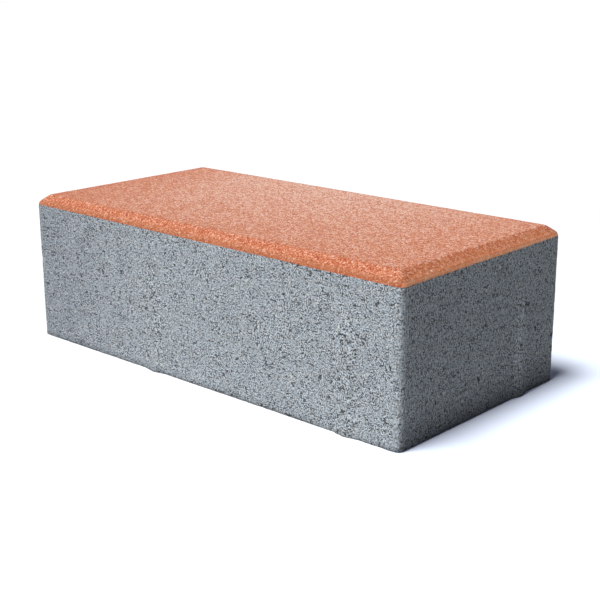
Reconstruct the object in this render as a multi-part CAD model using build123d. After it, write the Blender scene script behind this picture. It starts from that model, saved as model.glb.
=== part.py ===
from build123d import *
import os

# Concrete paving stone, pressed in one mould from two mixes: a grey base layer
# and a thin pigmented face layer, with a chamfer round the top and upright
# spacer nibs on its four sides. All sizes are in millimetres.
#
# The origin is the centre of the bed face. +X runs along the stone, +Y across
# it and +Z up towards the wearing face.

# Laying module: the stone and one joint, as it repeats in a laid surface
module_length = 200.0
module_width = 100.0
laying_joint = 2.0

# Body
stone_height = 62.5
corner_radius = 2.5

# Face layer and the chamfer round its top
face_layer_depth = 4.5
chamfer_run = 4.2
chamfer_rise = 3.0
top_corner_radius = 0.5

# Spacer nibs: how far they stand out, how wide they are, how high they keep
# their full section, over what height they then fade into the side, and how
# far each one is from the leading end of its stretch of the side
nib_projection = 1.0
nib_width = 10.0
nib_full_height = 36.0
nib_fade_height = 8.0
nib_setback = 25.0

# How far the fading top of a nib runs on behind the side, to close it cleanly
nib_root = 0.5

# Worked out from the sizes above
body_length = module_length - laying_joint
body_width = module_width - laying_joint
base_height = stone_height - face_layer_depth
chamfer_foot = stone_height - chamfer_rise
nib_radius = (nib_width**2 / 4 + nib_projection**2) / (2 * nib_projection)


def plan_outline(inset, radius):
    """The stone's outline seen from above, drawn in by an inset all round."""
    return RectangleRounded(body_length - 2 * inset, body_width - 2 * inset, radius)


def spacer_nib():
    """One nib: a round post whose crest stands out, and a cone that fades it."""
    post = Cylinder(
        nib_radius,
        nib_full_height,
        align=(Align.CENTER, Align.CENTER, Align.MIN),
    )
    fade_slope = nib_fade_height / nib_projection
    fade_run = nib_projection + nib_root
    fade = Cone(
        nib_radius,
        nib_radius - fade_run,
        fade_run * fade_slope,
        align=(Align.CENTER, Align.CENTER, Align.MIN),
    )
    return post + Pos(0, 0, nib_full_height) * fade


def nibs_on_side(side_module):
    """Where the nibs of one side stand along it, one in each square module."""
    stretches = round(side_module / module_width)
    stretch = side_module / stretches
    start = -side_module / 2
    return [start + (count + 1) * stretch - nib_setback for count in range(stretches)]


def nib_places():
    """Every nib's place. The sides follow each other anticlockwise from above,
    so the pattern is the same when the stone is turned by half a turn, and the
    nibs of two neighbours never meet."""
    sides = [
        (-90, body_width, module_length),
        (0, body_length, module_width),
        (90, body_width, module_length),
        (180, body_length, module_width),
    ]
    places = []
    for turn, depth, side_module in sides:
        post_centre = depth / 2 + nib_projection - nib_radius
        for along in nibs_on_side(side_module):
            places.append(Rot(0, 0, turn) * Pos(post_centre, along, 0))
    return places


def base_layer():
    """The grey base concrete: a straight-sided block and its spacer nibs."""
    block = extrude(plan_outline(0, corner_radius), base_height)
    for place in nib_places():
        block += place * spacer_nib()
    return block


def face_layer():
    """The pigmented face concrete: a straight band, then the chamfer."""
    band_outline = plan_outline(0, corner_radius)
    band = Pos(0, 0, base_height) * extrude(band_outline, chamfer_foot - base_height)
    foot = Pos(0, 0, chamfer_foot) * band_outline
    rim = Pos(0, 0, stone_height) * plan_outline(chamfer_run, top_corner_radius)
    return band + loft([foot, rim], ruled=True)


os.makedirs("parts", exist_ok=True)
export_step(base_layer(), "parts/base_layer.step")
export_step(face_layer(), "parts/face_layer.step")
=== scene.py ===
from math import radians

import bpy
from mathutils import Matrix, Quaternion, Vector


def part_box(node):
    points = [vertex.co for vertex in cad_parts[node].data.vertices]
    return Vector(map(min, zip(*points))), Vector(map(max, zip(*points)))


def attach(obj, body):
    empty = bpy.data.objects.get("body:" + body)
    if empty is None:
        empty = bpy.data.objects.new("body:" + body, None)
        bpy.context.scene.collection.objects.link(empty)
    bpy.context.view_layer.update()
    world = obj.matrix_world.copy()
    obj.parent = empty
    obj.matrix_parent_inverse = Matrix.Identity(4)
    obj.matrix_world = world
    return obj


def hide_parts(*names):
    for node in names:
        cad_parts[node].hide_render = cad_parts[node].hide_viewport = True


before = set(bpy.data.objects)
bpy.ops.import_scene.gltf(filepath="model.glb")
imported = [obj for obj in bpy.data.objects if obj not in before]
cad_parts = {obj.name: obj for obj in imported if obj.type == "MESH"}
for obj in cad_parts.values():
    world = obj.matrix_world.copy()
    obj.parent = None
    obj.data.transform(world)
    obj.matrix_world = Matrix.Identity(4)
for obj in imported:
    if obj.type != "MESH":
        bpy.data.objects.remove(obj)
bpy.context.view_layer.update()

# A pressed concrete paving stone: grey base concrete with spacer nibs, under a
# thin orange face layer with a chamfer. Everything is in metres, and +X runs
# along the stone, +Z up. The end at +X is called the leading end.

MM = 0.001

# The stone's body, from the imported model. The nibs stand out of its sides.
BASE_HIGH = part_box("base_layer")[1]
FACE_LOW, FACE_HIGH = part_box("face_layer")
LENGTH = FACE_HIGH.x - FACE_LOW.x
WIDTH = FACE_HIGH.y - FACE_LOW.y
HEIGHT = FACE_HIGH.z
COLOUR_LINE = FACE_LOW.z
NIB_PROJECTION = BASE_HIGH.x - FACE_HIGH.x

# The mould's own sizes. The orange band leans in a little at the stone's ends.
CORNER_RADIUS = 2.5 * MM
RIM_RADIUS = 0.5 * MM
END_LEAN = 0.45 * MM
CHAMFER_RUN = 4.2 * MM
CHAMFER_RISE = 3.0 * MM
CHAMFER_FOOT = HEIGHT - CHAMFER_RISE
NIB_WIDTH = 10.0 * MM
NIB_FULL_HEIGHT = 36.0 * MM
NIB_FADE_HEIGHT = 8.0 * MM
NIB_SETBACK = 25.0 * MM

# How finely the block's round corners and the nibs' round posts are cut
CORNER_SEGMENTS = 8
POST_SEGMENTS = 180

# A face whose normal rises this steeply is a flat top
FACING_UP = 0.9

# The face concrete was struck off a little out of level before it was pressed:
# in the middle of the stone the line between the two colours is this much over
# its even height, and it rises this much per metre along X and Y
COLOUR_LINE_LIFT = 0.37 * MM
COLOUR_LINE_SLOPE_X = -0.0026
COLOUR_LINE_SLOPE_Y = 0.005

# Sizes of the mesh that carries the relief, for each layer
BASE_MESH_SIZE = 0.78 * MM
FACE_MESH_SIZE = 0.51 * MM

# How deep a pore goes down evenly, and how much more than its height the rough
# stone gets at the bed, where its worked surface is pressed flat again
PORE_REACH = 0.8 * MM
BED_ALLOWANCE = 0.35 * MM

# Faces that meet more sharply than this keep a sharp edge in their shading
SHARP_ANGLE = radians(70)

# Grey base concrete: its sand and cement from the darkest to the palest, how
# single grains are tinted, and what is mixed in over them
GREY_SHADES = [
    (0.0, (0.05, 0.055, 0.06)),
    (0.3, (0.25, 0.275, 0.3)),
    (0.6, (0.44, 0.485, 0.52)),
    (1.0, (0.68, 0.73, 0.77)),
]
GREY_TINTS = [(0.0, (1.0, 0.93, 0.86)), (0.5, (1.0, 1.0, 1.0)), (1.0, (0.93, 1.0, 1.06))]
PALE_STONE = (0.7, 0.72, 0.7)
# Painted shade in the crevices under grains and in the pits
CREVICE_PAINTED_SHADE = (0.04, 0.042, 0.044)
# Painted shade in the open pores
PORE_PAINTED_SHADE = (0.03, 0.034, 0.038)
# Painted shade at the foot, all round the bed
FOOT_PAINTED_SHADE = (0.62, 0.62, 0.63)
# Painted shade at the foot of the ends, reaching higher
END_FOOT_PAINTED_SHADE = (0.44, 0.44, 0.46)
# Painted shade towards the end away from the leading one
OTHER_END_PAINTED_SHADE = (0.8, 0.8, 0.82)

# Orange face concrete, in the same way
ORANGE_SHADES = [
    (0.0, (0.3, 0.03, 0.002)),
    (0.4, (0.475, 0.13, 0.041)),
    (0.6, (0.605, 0.222, 0.112)),
    (0.8, (0.71, 0.372, 0.262)),
    (1.0, (0.82, 0.6, 0.52)),
]
ORANGE_TINTS = [(0.0, (1.0, 0.92, 0.8)), (0.5, (1.0, 1.0, 1.0)), (1.0, (0.98, 1.05, 1.15))]
# Painted shade along the foot line of the long chamfers
LONG_FOOT_PAINTED_SHADE = (0.9, 1.01, 1.08)
# Painted light on the end chamfers and the band below them
END_PAINTED_LIGHT = (0.75, 0.24, 0.12)
SCUFF_PALE = (0.86, 0.62, 0.52)
QUARTZ_PALE = (0.9, 0.78, 0.7)
# Painted shade in the pinholes
PINHOLE_PAINTED_SHADE = (0.2, 0.05, 0.02)

# The floor as it is seen, with a shadow that is bluish by the leading end, how
# it throws light back onto the stone, and a faint glow that lifts its shadow
FLOOR_SEEN = (1.03, 1.03, 1.03)
FLOOR_SEEN_BLUISH = (1.03, 1.12, 1.28)
FLOOR_THROWN_BACK = (0.55, 0.56, 0.585)
FLOOR_GLOW = (0.03, 0.03, 0.055, 1.0)

# The studio: how wide its floor is, its camera, its lamps and its sky
FLOOR_SIZE = 6
CAMERA_PLACE = Vector((0.3254, -0.3449, 0.163))
CAMERA_AIM = Vector((0.0184, -0.0099, 0.02977))
CAMERA_ROLL = radians(-0.21)
CAMERA_LENS = 71.92
CAMERA_NEAREST = 0.01
KEY_FROM = Vector((-10.5, -33.6, 100))
KEY_STRENGTH = 3.15
KEY_SPREAD = radians(21)
FILL_FROM = Vector((-2, -97, 10))
FILL_STRENGTH = 1.2
FILL_SPREAD = radians(11)
SKY_STRENGTH = 0.02


def take(piece):
    """Make one piece the only selected and the active one."""
    bpy.ops.object.select_all(action="DESELECT")
    piece.select_set(True)
    bpy.context.view_layer.objects.active = piece


def unselect_in(piece, mode):
    """Leave nothing selected in a piece's mesh, ready to pick one kind of element."""
    take(piece)
    bpy.ops.object.mode_set(mode="EDIT")
    bpy.ops.mesh.select_mode(type=mode)
    bpy.ops.mesh.select_all(action="DESELECT")
    bpy.ops.object.mode_set(mode="OBJECT")


def edit_top(piece):
    """Open a piece in edit mode with its flat top selected."""
    unselect_in(piece, "FACE")
    for face in piece.data.polygons:
        face.select = face.normal.z > FACING_UP
    bpy.ops.object.mode_set(mode="EDIT")


def apply_place(piece):
    """Put a piece's place, turn and size into its mesh."""
    take(piece)
    bpy.ops.object.transform_apply(location=True, rotation=True, scale=True)


def sharpen_rim_corner(block, corner):
    """Draw one round corner of the rim together, towards its sharp corner."""
    unselect_in(block, "VERT")
    for point in block.data.vertices:
        point.select = (point.co - corner).length < 1.5 * CORNER_RADIUS
        point.select &= point.co.z > HEIGHT - CHAMFER_RISE / 2
    bpy.ops.object.mode_set(mode="EDIT")
    sharper = RIM_RADIUS / CORNER_RADIUS
    bpy.ops.transform.resize(value=(sharper, sharper, 1), center_override=corner)
    bpy.ops.object.mode_set(mode="OBJECT")


def rough_block():
    """The mould's box: an upright block with round corners, a band above it that
    leans in a little at the ends, and a chamfer that runs up to sharp corners."""
    bpy.ops.mesh.primitive_cube_add(size=1, location=(0, 0, (COLOUR_LINE - BED_ALLOWANCE) / 2))
    block = bpy.context.object
    block.scale = (LENGTH, WIDTH, COLOUR_LINE + BED_ALLOWANCE)
    apply_place(block)

    unselect_in(block, "EDGE")
    points = block.data.vertices
    for line in block.data.edges:
        start, end = (points[index].co for index in line.vertices)
        line.select = abs(start.z - end.z) > COLOUR_LINE / 2
    bpy.ops.object.mode_set(mode="EDIT")
    bpy.ops.mesh.bevel(offset=CORNER_RADIUS, segments=CORNER_SEGMENTS, affect="EDGES")
    bpy.ops.object.mode_set(mode="OBJECT")

    edit_top(block)
    band = (0, 0, CHAMFER_FOOT - COLOUR_LINE)
    bpy.ops.mesh.extrude_region_move(TRANSFORM_OT_translate={"value": band})
    leaning = LENGTH - 2 * END_LEAN
    bpy.ops.transform.resize(value=(leaning / LENGTH, 1, 1), center_override=(0, 0, CHAMFER_FOOT))
    bpy.ops.mesh.extrude_region_move(TRANSFORM_OT_translate={"value": (0, 0, CHAMFER_RISE)})
    shrink = ((LENGTH - 2 * CHAMFER_RUN) / leaning, 1 - 2 * CHAMFER_RUN / WIDTH, 1)
    bpy.ops.transform.resize(value=shrink, center_override=(0, 0, HEIGHT))
    bpy.ops.object.mode_set(mode="OBJECT")

    for side_x in (-1, 1):
        for side_y in (-1, 1):
            across = side_y * (WIDTH / 2 - CHAMFER_RUN)
            sharpen_rim_corner(block, Vector((side_x * (LENGTH / 2 - CHAMFER_RUN), across, HEIGHT)))
    return block


def nib_post(out):
    """One nib: a round post whose crest stands this far out from the middle of the
    stone. Above its full height it narrows, until it is well inside the side."""
    radius = (NIB_WIDTH**2 / 4 + NIB_PROJECTION**2) / (2 * NIB_PROJECTION)
    bpy.ops.mesh.primitive_cylinder_add(
        vertices=POST_SEGMENTS,
        radius=radius,
        depth=NIB_FULL_HEIGHT + BED_ALLOWANCE,
        location=(0, 0, (NIB_FULL_HEIGHT - BED_ALLOWANCE) / 2),
    )
    post = bpy.context.object
    apply_place(post)
    edit_top(post)
    fade = 2 * NIB_FADE_HEIGHT
    bpy.ops.mesh.extrude_region_move(TRANSFORM_OT_translate={"value": (0, 0, fade)})
    narrowed = 1 - 2 * NIB_PROJECTION / radius
    top = (0, 0, NIB_FULL_HEIGHT + fade)
    bpy.ops.transform.resize(value=(narrowed, narrowed, 1), center_override=top)
    bpy.ops.object.mode_set(mode="OBJECT")
    post.location = out - out.normalized() * radius
    return post


def nib_places():
    """Where the nibs stand: how far out each crest is, and how far along its side.
    They go anticlockwise, and the second three are the first turned by half a turn."""
    module = WIDTH + 2 * NIB_PROJECTION
    to_side = Vector((0, -WIDTH / 2 - NIB_PROJECTION, 0))
    to_end = Vector((LENGTH / 2 + NIB_PROJECTION, 0, 0))
    first = module - NIB_SETBACK
    places = []
    for turn in (1, -1):
        places.append((to_side * turn, Vector((first - module, 0, 0)) * turn))
        places.append((to_side * turn, Vector((first, 0, 0)) * turn))
        places.append((to_end * turn, Vector((0, first - module / 2, 0)) * turn))
    return places


def rough_stone():
    """The whole stone before its surface is worked: the block with its nibs."""
    parts = [rough_block()]
    for out, along in nib_places():
        post = nib_post(out)
        post.location += along
        apply_place(post)
        parts.append(post)
    take(parts[0])
    for part in parts:
        part.select_set(True)
    bpy.ops.object.join()
    return bpy.context.object


def put(tree, kind, inputs=None, output=0, **settings):
    """Add a node with its settings and inputs, and give back one of its outputs."""
    node = tree.nodes.new(kind)
    for name, value in settings.items():
        setattr(node, name, value)
    for name, value in (inputs or {}).items():
        if isinstance(value, bpy.types.NodeSocket):
            tree.links.new(value, node.inputs[name])
        else:
            node.inputs[name].default_value = value
    return node.outputs[output]


def maths(tree, operation, first, second=0.0, third=0.0):
    """One sum, on numbers or on outputs."""
    return put(tree, "ShaderNodeMath", {0: first, 1: second, 2: third}, operation=operation)


def vectors(tree, operation, first, second=(0, 0, 0)):
    """One sum on vectors."""
    return put(tree, "ShaderNodeVectorMath", {0: first, 1: second}, operation=operation)


def scaled(tree, vector, scale):
    """A vector made longer or shorter."""
    return put(tree, "ShaderNodeVectorMath", {0: vector, "Scale": scale}, operation="SCALE")


def split(tree, vector):
    """The three parts of a vector."""
    node = tree.nodes.new("ShaderNodeSeparateXYZ")
    tree.links.new(vector, node.inputs[0])
    return node.outputs


def added_up(tree, *parts):
    """The sum of some values, each times its own weight."""
    total = 0.0
    for value, weight in parts:
        total = maths(tree, "MULTIPLY_ADD", value, weight, total)
    return total


def weighted(tree, value, amount, without, full):
    """A value times one number where the amount is 0, and another where it is 1."""
    return maths(tree, "MULTIPLY", value, maths(tree, "MULTIPLY_ADD", amount, full - without, without))


def spread(tree, value, low, high):
    """Stretch a value so that low becomes 0 and high becomes 1."""
    return put(tree, "ShaderNodeMapRange", {"Value": value, "From Min": low, "From Max": high})


def fading(tree, value, start, stop):
    """1 at the start and 0 from the stop on, with a soft change between them."""
    inputs = {"Value": value, "From Min": stop, "From Max": start}
    return put(tree, "ShaderNodeMapRange", inputs, interpolation_type="SMOOTHSTEP")


def beside(tree, value, line, full, none):
    """1 where a value is within the full distance of a line, and 0 past the other."""
    off_line = maths(tree, "ABSOLUTE", maths(tree, "SUBTRACT", value, line))
    return fading(tree, off_line, full, none)


def set_in(tree, place):
    """How far in from the nearer end, and from the nearer side."""
    away = split(tree, vectors(tree, "ABSOLUTE", place))
    from_end = maths(tree, "SUBTRACT", LENGTH / 2, away[0])
    from_side = maths(tree, "SUBTRACT", WIDTH / 2, away[1])
    return from_end, from_side


def noise(tree, place, size, detail=0.0, rough=0.5):
    """Soft noise from about 0.3 to 0.7, whose lumps are about this size."""
    inputs = {"Vector": place, "Scale": 1 / size, "Detail": detail, "Roughness": rough}
    return put(tree, "ShaderNodeTexNoise", inputs, noise_dimensions="3D")


def centred(tree, value, amount):
    """Soft noise made to swing evenly about nought, by about this much each way."""
    return maths(tree, "MULTIPLY_ADD", value, 4 * amount, -2 * amount)


def packed(tree, place, size, offset):
    """Packed cells of this size: two random numbers for each cell, and how far a
    point is from the middle of its cell, in cells."""
    cell = tree.nodes.new("ShaderNodeTexVoronoi")
    cell.voronoi_dimensions = "3D"
    cell.feature = "F1"
    cell.inputs["Scale"].default_value = 1 / size
    tree.links.new(vectors(tree, "ADD", place, (offset, offset / 2, -offset)), cell.inputs["Vector"])
    chances = split(tree, cell.outputs["Color"])
    return chances[0], chances[1], cell.outputs["Distance"]


def spots(tree, place, spacing, share, smallest, largest, offset):
    """Scattered round spots, 1 in their middle and 0 outside: one in each cell of
    this spacing for this share of the cells, with a radius between the limits."""
    chance, order, distance = packed(tree, place, spacing, offset)
    radius = maths(tree, "MULTIPLY_ADD", chance, (largest - smallest) / spacing, smallest / spacing)
    chosen = maths(tree, "LESS_THAN", order, share)
    radius = maths(tree, "MULTIPLY", radius, chosen)
    inside = maths(tree, "SUBTRACT", radius, distance)
    depth = maths(tree, "DIVIDE", inside, maths(tree, "MAXIMUM", radius, 0.001))
    return fading(tree, depth, 0.6, 0.0)


def pressed_in(tree, place):
    """Coordinates that stay the same all the way down a pore, as deep as its reach."""
    inner = (LENGTH / 2 - PORE_REACH, WIDTH / 2 - PORE_REACH, HEIGHT - PORE_REACH)
    outer = (PORE_REACH - LENGTH / 2, PORE_REACH - WIDTH / 2, PORE_REACH)
    return vectors(tree, "MINIMUM", vectors(tree, "MAXIMUM", place, outer), inner)


def bent(tree, place, size, reach):
    """Coordinates pushed about by noise of this size, so that spots come out crooked."""
    push = put(
        tree,
        "ShaderNodeTexNoise",
        {"Vector": place, "Scale": 1 / size, "Detail": 1.0},
        output="Color",
        noise_dimensions="3D",
    )
    return vectors(tree, "ADD", place, scaled(tree, push, reach))


def pores(tree, place):
    """The larger open pores, the same in the mesh and in the colour."""
    crooked = bent(tree, pressed_in(tree, place), size=1.2 * MM, reach=1.6 * MM)
    large = spots(tree, crooked, 10 * MM, share=0.4, smallest=0.6 * MM, largest=1.2 * MM, offset=0.31)
    small = spots(tree, crooked, 4 * MM, share=0.25, smallest=0.35 * MM, largest=0.75 * MM, offset=0.57)
    return maths(tree, "MAXIMUM", large, small)


def chips(tree, place):
    """Small chips along the upright corners and round the bed, 1 where deepest."""
    from_end, from_side = set_in(tree, place)
    from_end = maths(tree, "ABSOLUTE", from_end)
    from_side = maths(tree, "ABSOLUTE", from_side)
    from_bed = split(tree, vectors(tree, "ABSOLUTE", place))[2]
    nearer = maths(tree, "MINIMUM", from_end, from_side)
    farther = maths(tree, "MAXIMUM", from_end, from_side)
    from_edge = maths(tree, "MAXIMUM", nearer, maths(tree, "MINIMUM", farther, from_bed))
    at_edge = fading(tree, from_edge, 0.4 * MM, 2.5 * MM)
    worn = spread(tree, noise(tree, place, size=4 * MM, detail=2.0, rough=0.6), 0.52, 0.8)
    return maths(tree, "MULTIPLY", at_edge, worn)


def relief_group(name, rounds, grain_depth, pore_depth, chip_depth):
    """Nodes that round off a stone's arrises in some rounds of blurring, then give
    its surface waviness, grain, open pores and, along its edges, small chips."""
    tree = bpy.data.node_groups.new(name, "GeometryNodeTree")
    tree.interface.new_socket("Geometry", in_out="INPUT", socket_type="NodeSocketGeometry")
    tree.interface.new_socket("Geometry", in_out="OUTPUT", socket_type="NodeSocketGeometry")
    stone = tree.nodes.new("NodeGroupInput").outputs[0]
    place = put(tree, "GeometryNodeInputPosition")
    normal = put(tree, "GeometryNodeInputNormal")

    soft = tree.nodes.new("GeometryNodeBlurAttribute")
    soft.data_type = "FLOAT_VECTOR"
    taken_in = [socket for socket in soft.inputs if socket.type == "VECTOR"][0]
    given_out = [socket for socket in soft.outputs if socket.type == "VECTOR"][0]
    tree.links.new(place, taken_in)
    soft.inputs["Iterations"].default_value = rounds
    stone = put(tree, "GeometryNodeSetPosition", {"Geometry": stone, "Position": given_out})

    wave = centred(tree, noise(tree, place, size=18 * MM, detail=1.0), amount=0.04 * MM)
    grain = noise(tree, place, size=1.9 * MM, detail=1.0, rough=0.6)
    grain = centred(tree, grain, amount=grain_depth)
    pore = maths(tree, "MULTIPLY", pores(tree, place), pore_depth)
    chip = maths(tree, "MULTIPLY", chips(tree, place), chip_depth)
    sunk = maths(tree, "ADD", maths(tree, "ADD", wave, grain), maths(tree, "ADD", pore, chip))
    inward = scaled(tree, normal, maths(tree, "MULTIPLY", sunk, -1.0))
    worked = vectors(tree, "ADD", place, inward)
    on_bed = vectors(tree, "MAXIMUM", worked, (-LENGTH, -LENGTH, 0.0))
    moved = put(tree, "GeometryNodeSetPosition", {"Geometry": stone, "Position": on_bed})
    result = tree.nodes.new("NodeGroupOutput")
    tree.links.new(moved, result.inputs[0])
    return tree


def work_surface(piece, mesh_size, relief):
    """Give a rough stone an even fine mesh, and sink the relief into it."""
    take(piece)
    even = piece.modifiers.new("even_mesh", "REMESH")
    even.mode = "VOXEL"
    even.voxel_size = mesh_size
    bpy.ops.object.modifier_apply(modifier=even.name)
    sink = piece.modifiers.new("relief", "NODES")
    sink.node_group = relief
    bpy.ops.object.modifier_apply(modifier=sink.name)


def cut_at_colour_line(piece, keep):
    """Cut a stone through at the colour line, and keep the part on one side."""
    take(piece)
    bpy.ops.object.mode_set(mode="EDIT")
    bpy.ops.mesh.select_all(action="SELECT")
    bpy.ops.mesh.bisect(
        plane_co=(0, 0, COLOUR_LINE + COLOUR_LINE_LIFT),
        plane_no=(-COLOUR_LINE_SLOPE_X, -COLOUR_LINE_SLOPE_Y, 1),
        use_fill=True,
        clear_outer=keep == "below",
        clear_inner=keep == "above",
    )
    bpy.ops.mesh.select_all(action="SELECT")
    bpy.ops.mesh.normals_make_consistent(inside=False)
    bpy.ops.object.mode_set(mode="OBJECT")


def finish_piece(piece, name, node, material):
    """Name a layer, smooth its shading, and stand it in for its node."""
    piece.name = name
    piece.data.name = name
    take(piece)
    bpy.ops.object.shade_smooth_by_angle(angle=SHARP_ANGLE)
    piece.data.materials.clear()
    piece.data.materials.append(material)
    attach(piece, "root")
    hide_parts(node)


def new_material(name):
    """An empty material with its shader, its output and the object's coordinates."""
    material = bpy.data.materials.new(name)
    material.use_nodes = True
    tree = material.node_tree
    tree.nodes.clear()
    shader = tree.nodes.new("ShaderNodeBsdfPrincipled")
    output = tree.nodes.new("ShaderNodeOutputMaterial")
    tree.links.new(shader.outputs[0], output.inputs["Surface"])
    place = put(tree, "ShaderNodeTexCoord", output="Object")
    return material, tree, shader, place


def mixed(tree, factor, first, second, blend="MIX"):
    """Two colours mixed by a factor."""
    node = tree.nodes.new("ShaderNodeMix")
    node.data_type = "RGBA"
    node.blend_type = blend
    for socket, value in ((0, factor), (6, first), (7, second)):
        if isinstance(value, bpy.types.NodeSocket):
            tree.links.new(value, node.inputs[socket])
        elif socket == 0:
            node.inputs[socket].default_value = value
        else:
            node.inputs[socket].default_value = (*value, 1.0)
    return node.outputs[2]


def laid_over(tree, colour, cover, amount, strength):
    """A colour with another one over it where the amount is 1, at this strength."""
    return mixed(tree, maths(tree, "MULTIPLY", amount, strength), colour, cover)


def ramp(tree, factor, stops):
    """A colour ramp from a list of places and colours."""
    node = tree.nodes.new("ShaderNodeValToRGB")
    band = node.color_ramp
    while len(band.elements) < len(stops):
        band.elements.new(0.5)
    for element, (at, colour) in zip(band.elements, stops):
        element.position = at
        element.color = (*colour, 1.0)
    tree.links.new(factor, node.inputs[0])
    return node.outputs[0]


def finish_shader(tree, shader, colour, roughness, gloss):
    """Give a shader its colour and how rough and glossy it is."""
    tree.links.new(colour, shader.inputs["Base Color"])
    shader.inputs["Roughness"].default_value = roughness
    shader.inputs["Specular IOR Level"].default_value = gloss


def bumped(tree, shader, height, strength, distance):
    """Give a shader fine bumps from a height."""
    inputs = {"Height": height, "Strength": strength, "Distance": distance}
    tree.links.new(put(tree, "ShaderNodeBump", inputs), shader.inputs["Normal"])


def grey_sand(tree, place, on_end, off_corner, open_patch):
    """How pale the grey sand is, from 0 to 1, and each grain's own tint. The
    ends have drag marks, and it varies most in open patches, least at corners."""
    shade, hue = packed(tree, place, size=0.66 * MM, offset=0.013)[:2]
    fine = noise(tree, place, size=0.5 * MM)
    medium = noise(tree, place, size=1.6 * MM, detail=1.0)
    broad = noise(tree, place, size=12 * MM, detail=2.0)
    value = added_up(tree, (fine, 2.65), (shade, 0.46), (medium, 0.2), (broad, 0.2))
    value = spread(tree, value, 1.085, 2.385)
    drawn = vectors(tree, "MULTIPLY", place, (1.0, 1.0, 0.28))
    drag = centred(tree, noise(tree, drawn, size=0.55 * MM, detail=1.0), amount=0.35)
    value = maths(tree, "MULTIPLY_ADD", drag, on_end, value)
    swing = maths(tree, "MULTIPLY_ADD", on_end, -0.15, 0.78)
    swing = maths(tree, "MULTIPLY_ADD", open_patch, 0.45, swing)
    swing = weighted(tree, swing, off_corner, without=0.75, full=1.0)
    value = maths(tree, "MULTIPLY_ADD", maths(tree, "SUBTRACT", value, 0.5), swing, 0.5)
    return value, hue


def grey_holes(tree, place, crooked, on_end, off_corner, open_patch):
    """Crevices between lying grains, and pits, 1 where darkest, and how far a
    point is from the middle of its grain. There are fewer at the corners."""
    lying = vectors(tree, "MULTIPLY", crooked, (0.75, 0.75, 1.6))
    off_grain = packed(tree, lying, size=1.1 * MM, offset=0.083)[2]
    gap = maths(tree, "MULTIPLY_ADD", open_patch, 0.15, off_grain)
    gap = maths(tree, "SUBTRACT", gap, noise(tree, place, size=1.3 * MM, detail=1.0))
    crevices = weighted(tree, fading(tree, gap, 0.49, 0.3), on_end, without=1.0, full=0.8)
    pits = spots(tree, crooked, 3.2 * MM, share=0.2, smallest=0.3 * MM, largest=0.7 * MM, offset=0.67)
    holes = maths(tree, "MAXIMUM", crevices, pits)
    return weighted(tree, holes, off_corner, without=0.5, full=1.0), off_grain


def grey_concrete():
    """Base concrete: bluish grey cement and sand with pale grit, and crevices and
    pores darkened with painted shade. Painted shade darkens its foot, most at the
    ends, and a little painted shade lies towards the end away from the leading one."""
    material, tree, shader, place = new_material("grey_concrete")
    from_end, from_side = set_in(tree, place)
    along, _, up = split(tree, place)
    on_end = fading(tree, from_end, 0.4 * MM, 1.4 * MM)
    off_corner = fading(tree, maths(tree, "MAXIMUM", from_end, from_side), 5 * MM, 2 * MM)
    open_patch = spread(tree, noise(tree, place, size=4.5 * MM, detail=2.0), 0.38, 0.62)
    value, hue = grey_sand(tree, place, on_end, off_corner, open_patch)
    colour = ramp(tree, value, GREY_SHADES)
    colour = mixed(tree, factor=0.7, first=colour, second=ramp(tree, hue, GREY_TINTS), blend="MULTIPLY")

    crooked = bent(tree, place, size=1.0 * MM, reach=0.6 * MM)
    stones = spots(tree, crooked, 6 * MM, share=0.25, smallest=0.5 * MM, largest=1.1 * MM, offset=0.41)
    grit = spots(tree, crooked, 2.6 * MM, share=0.22, smallest=0.25 * MM, largest=0.55 * MM, offset=0.29)
    colour = laid_over(tree, colour, PALE_STONE, maths(tree, "MAXIMUM", stones, grit), strength=0.7)
    holes, off_grain = grey_holes(tree, place, crooked, on_end, off_corner, open_patch)
    # Crevices and pits darkened with painted shade
    colour = laid_over(tree, colour, CREVICE_PAINTED_SHADE, holes, strength=0.8)
    open_pores = pores(tree, place)
    # Open pores darkened with painted shade
    colour = laid_over(tree, colour, PORE_PAINTED_SHADE, open_pores, strength=0.85)

    # Painted shade darkens the foot: a little all round the bed, and more and higher on the ends
    for reach, power, share, shade_colour in (
        (4 * MM, 2.0, 1.0, FOOT_PAINTED_SHADE),
        (16 * MM, 1.5, on_end, END_FOOT_PAINTED_SHADE),
    ):
        foot_shade = maths(tree, "POWER", spread(tree, up, reach, 0.0), power)
        colour = mixed(tree, maths(tree, "MULTIPLY", foot_shade, share), colour, shade_colour, "MULTIPLY")
    # Painted shade, a little darker towards the end away from the leading one
    other_end = fading(tree, along, -0.52 * LENGTH, -0.1 * LENGTH)
    colour = mixed(tree, other_end, colour, OTHER_END_PAINTED_SHADE, "MULTIPLY")
    finish_shader(tree, shader, colour, roughness=0.9, gloss=0.05)
    height = added_up(tree, (value, 1.0), (holes, -1.2), (off_grain, -0.6), (open_pores, -3.0))
    bumped(tree, shader, height, strength=0.9, distance=0.2 * MM)
    return material


def painted_sheen(tree, place):
    """How pale a painted sheen makes the wearing face: not at all below the rim,
    more towards the back, hardly at all near the leading end, and less towards the
    other end. It stops more sharply at the ends than along the sides."""
    along, across, _ = split(tree, place)
    from_end, from_side = set_in(tree, place)
    from_end = maths(tree, "MULTIPLY_ADD", from_end, 2.5, -1.5 * CHAMFER_RUN)
    inside = maths(tree, "MINIMUM", from_end, from_side)
    on_top = fading(tree, inside, CHAMFER_RUN + 2.4 * MM, CHAMFER_RUN - 0.6 * MM)
    towards_back = spread(tree, across, -WIDTH / 2, WIDTH / 2)
    off_leading_end = fading(tree, along, 0.02 * LENGTH, 0.56 * LENGTH)
    off_other_end = fading(tree, along, -LENGTH / 5, -0.6 * LENGTH)
    sheen_strength = maths(tree, "MULTIPLY", towards_back, off_leading_end)
    sheen_strength = maths(tree, "MULTIPLY_ADD", sheen_strength, 0.23, 0.12)
    return maths(tree, "MULTIPLY", maths(tree, "MULTIPLY", sheen_strength, off_other_end), on_top)


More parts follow.
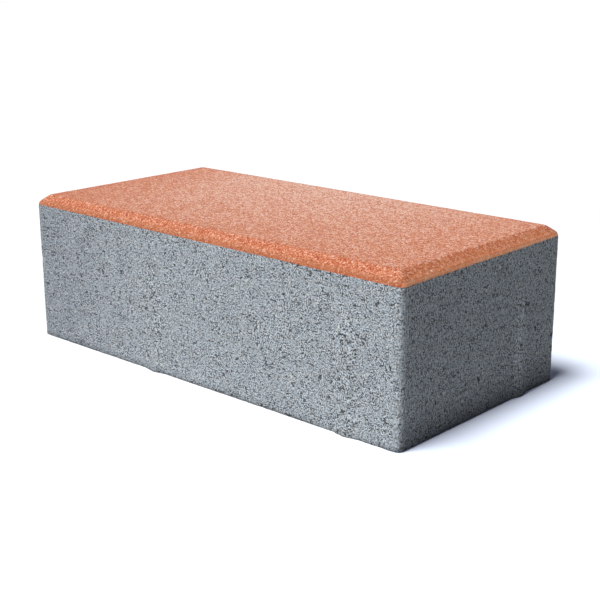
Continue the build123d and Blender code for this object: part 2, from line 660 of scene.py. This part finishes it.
def orange_sand(tree, place, sheen, long_foot, end_chamfer):
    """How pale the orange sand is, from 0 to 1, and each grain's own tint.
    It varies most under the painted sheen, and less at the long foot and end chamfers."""
    shade, hue = packed(tree, place, size=0.75 * MM, offset=0.021)[:2]
    fine = noise(tree, place, size=0.5 * MM)
    broad = noise(tree, place, size=9 * MM, detail=1.0)
    value = added_up(tree, (fine, 1.6), (shade, 0.62), (broad, 0.1))
    value = spread(tree, value, 0.53, 1.78)
    swing = maths(tree, "MULTIPLY_ADD", long_foot, -0.3, 1.0)
    swing = maths(tree, "MULTIPLY_ADD", sheen, 1.6, swing)
    swing = weighted(tree, swing, end_chamfer, without=1.0, full=0.88)
    value = maths(tree, "MULTIPLY", maths(tree, "SUBTRACT", value, 0.5), swing)
    value = maths(tree, "ADD", value, maths(tree, "ADD", sheen, 0.42))
    return value, hue


def painted_end_light(tree, from_end, up, past_mitre):
    """Where painted light makes the orange paler: on the end chamfers, more at their
    foot, and most on the band below them."""
    by_rim = fading(tree, from_end, CHAMFER_RUN - 0.8 * MM, CHAMFER_RUN)
    end_light = maths(tree, "MULTIPLY", past_mitre, by_rim)
    at_foot = beside(tree, up, CHAMFER_FOOT + 0.2 * MM, full=0.1 * MM, none=1.0 * MM)
    at_foot = maths(tree, "MULTIPLY", past_mitre, at_foot)
    end_light = added_up(tree, (end_light, 0.17), (at_foot, 0.26))
    on_band = fading(tree, up, CHAMFER_FOOT - 0.5 * MM, CHAMFER_FOOT + 0.1 * MM)
    on_band = maths(tree, "MULTIPLY", on_band, fading(tree, from_end, 0.5 * MM, 1.4 * MM))
    return maths(tree, "MAXIMUM", end_light, on_band)


def orange_concrete():
    """Face concrete: iron oxide orange with pale sand under a painted sheen, and pinholes
    darkened with painted shade. It has painted shade along the foot of the long chamfers,
    painted light on the end chamfers and the band below them, and scuffs along the rim."""
    material, tree, shader, place = new_material("orange_concrete")
    from_end, from_side = set_in(tree, place)
    up = split(tree, place)[2]
    past_mitre = fading(tree, maths(tree, "SUBTRACT", from_end, from_side), -8 * MM, 0.0)
    long_foot = fading(tree, up, CHAMFER_FOOT + 0.3 * MM, CHAMFER_FOOT + 1.3 * MM)
    long_foot = weighted(tree, long_foot, past_mitre, without=1.0, full=0.0)
    end_chamfer = fading(tree, from_end, CHAMFER_RUN, CHAMFER_RUN + 0.8 * MM)
    end_chamfer = maths(tree, "MULTIPLY", past_mitre, end_chamfer)
    # A painted sheen pales the top and makes its sand livelier
    sheen = painted_sheen(tree, place)
    value, hue = orange_sand(tree, place, sheen, long_foot, end_chamfer)
    colour = ramp(tree, value, ORANGE_SHADES)
    colour = mixed(tree, factor=0.75, first=colour, second=ramp(tree, hue, ORANGE_TINTS), blend="MULTIPLY")

    # Painted shade along the foot line of the long chamfers
    foot_line_shade = fading(tree, up, CHAMFER_FOOT - 0.3 * MM, CHAMFER_FOOT - 1.0 * MM)
    colour = mixed(tree, maths(tree, "MULTIPLY", long_foot, foot_line_shade), colour, LONG_FOOT_PAINTED_SHADE, "MULTIPLY")
    # Painted light on the end chamfers and the band below them
    colour = mixed(tree, painted_end_light(tree, from_end, up, past_mitre), colour, END_PAINTED_LIGHT, "SCREEN")
    inside = maths(tree, "MINIMUM", from_end, from_side)
    at_rim = beside(tree, inside, CHAMFER_RUN, full=0.2 * MM, none=1.0 * MM)
    scuffs = spread(tree, noise(tree, place, size=2.5 * MM, detail=2.0), 0.56, 0.66)
    scuffs = weighted(tree, scuffs, past_mitre, without=0.2, full=0.55)
    colour = mixed(tree, maths(tree, "MULTIPLY", scuffs, at_rim), colour, SCUFF_PALE)

    quartz = spots(tree, place, 4.5 * MM, share=0.2, smallest=0.3 * MM, largest=0.7 * MM, offset=0.37)
    colour = laid_over(tree, colour, QUARTZ_PALE, quartz, strength=0.75)
    pinholes = spots(tree, place, 2.2 * MM, share=0.3, smallest=0.2 * MM, largest=0.5 * MM, offset=0.71)
    pinholes = weighted(tree, pinholes, end_chamfer, without=1.0, full=0.6)
    # Pinholes darkened with painted shade
    colour = laid_over(tree, colour, PINHOLE_PAINTED_SHADE, pinholes, strength=0.7)
    finish_shader(tree, shader, colour, roughness=0.65, gloss=0.5)
    height = added_up(tree, (value, 1.0), (pinholes, -0.8))
    bumped(tree, shader, height, strength=0.4, distance=0.2 * MM)
    return material


def seen_plainly(tree):
    """1 for the camera's own rays, and for those by way of gloss or glass, so
    that the background is as pale in a reflection as it is in the picture."""
    paths = tree.nodes.new("ShaderNodeLightPath").outputs
    mirrored = maths(tree, "MAXIMUM", paths["Is Glossy Ray"], paths["Is Transmission Ray"])
    return maths(tree, "MAXIMUM", paths["Is Camera Ray"], mirrored)


def white_floor():
    """A floor that looks white, keeps the shadow and throws back less light. The
    shadow by the leading end of the stone is bluish."""
    material = bpy.data.materials.new("studio_floor")
    material.use_nodes = True
    tree = material.node_tree
    tree.nodes.clear()
    place = put(tree, "ShaderNodeTexCoord", output="Object")
    shadow_middle = (0.7 * LENGTH, 0, 0)
    inputs = {0: place, 1: shadow_middle}
    off_shadow = put(tree, "ShaderNodeVectorMath", inputs, output="Value", operation="DISTANCE")
    along, across, _ = split(tree, place)
    past_corner = maths(tree, "ADD", along, across)
    past_corner = fading(tree, past_corner, LENGTH / 4, LENGTH / 4 - 12 * MM)
    in_shadow = fading(tree, off_shadow, 0.45 * LENGTH, 0.9 * LENGTH)
    by_end = maths(tree, "MULTIPLY", past_corner, in_shadow)
    seen = seen_plainly(tree)
    bright = mixed(tree, by_end, FLOOR_SEEN, FLOOR_SEEN_BLUISH)
    colour = mixed(tree, seen, FLOOR_THROWN_BACK, bright)
    diffuse = put(tree, "ShaderNodeBsdfDiffuse", {"Color": colour})
    glow = put(tree, "ShaderNodeEmission", {"Color": FLOOR_GLOW, "Strength": seen})
    both = put(tree, "ShaderNodeAddShader", {0: diffuse, 1: glow})
    output = tree.nodes.new("ShaderNodeOutputMaterial")
    tree.links.new(both, output.inputs["Surface"])
    return material


def pale_sky():
    """A world that looks white and hardly lights the stone."""
    world = bpy.data.worlds.new("studio")
    bpy.context.scene.world = world
    world.use_nodes = True
    tree = world.node_tree
    tree.nodes.clear()
    inputs = {"Value": seen_plainly(tree), "To Min": SKY_STRENGTH, "To Max": 1.0}
    strength = put(tree, "ShaderNodeMapRange", inputs)
    sky = put(tree, "ShaderNodeBackground", {"Color": (1, 1, 1, 1), "Strength": strength})
    output = tree.nodes.new("ShaderNodeOutputWorld")
    tree.links.new(sky, output.inputs["Surface"])


def sun_lamp(name, from_where, strength, angle):
    """A lamp whose light comes from one direction, with soft shadows."""
    lamp = bpy.data.lights.new(name, "SUN")
    lamp.energy = strength
    lamp.angle = angle
    carrier = bpy.data.objects.new(name, lamp)
    carrier.rotation_euler = from_where.to_track_quat("Z", "Y").to_euler()
    bpy.context.scene.collection.objects.link(carrier)


def studio():
    """Floor, sky, lamps and camera."""
    bpy.ops.mesh.primitive_plane_add(size=FLOOR_SIZE, location=(0, 0, 0))
    floor = bpy.context.object
    floor.name = "studio_floor"
    floor.data.materials.append(white_floor())

    pale_sky()
    sun_lamp("key", KEY_FROM, KEY_STRENGTH, KEY_SPREAD)
    sun_lamp("fill", FILL_FROM, FILL_STRENGTH, FILL_SPREAD)

    camera = bpy.data.objects.new("camera", bpy.data.cameras.new("camera"))
    bpy.context.scene.collection.objects.link(camera)
    camera.data.lens = CAMERA_LENS
    camera.data.clip_start = CAMERA_NEAREST
    camera.location = CAMERA_PLACE
    turn = (CAMERA_AIM - CAMERA_PLACE).to_track_quat("-Z", "Y")
    camera.rotation_euler = (turn @ Quaternion((0, 0, 1), CAMERA_ROLL)).to_euler()
    bpy.context.scene.camera = camera
    bpy.context.scene.view_settings.view_transform = "Standard"


studio()

stone = rough_stone()
take(stone)
bpy.ops.object.duplicate()
stone_above = bpy.context.object

base_relief = relief_group(
    "base_relief",
    rounds=1,
    grain_depth=0.04 * MM,
    pore_depth=0.5 * MM,
    chip_depth=0.35 * MM,
)
work_surface(stone, BASE_MESH_SIZE, base_relief)
cut_at_colour_line(stone, "below")
finish_piece(stone, "base_concrete", "base_layer", grey_concrete())

face_relief = relief_group(
    "face_relief",
    rounds=3,
    grain_depth=0.01 * MM,
    pore_depth=0.12 * MM,
    chip_depth=0.2 * MM,
)
work_surface(stone_above, FACE_MESH_SIZE, face_relief)
cut_at_colour_line(stone_above, "above")
finish_piece(stone_above, "face_concrete", "face_layer", orange_concrete())

for piece in (stone, stone_above):
    piece.data.calc_loop_triangles()
    print(piece.name, "triangles", len(piece.data.loop_triangles))
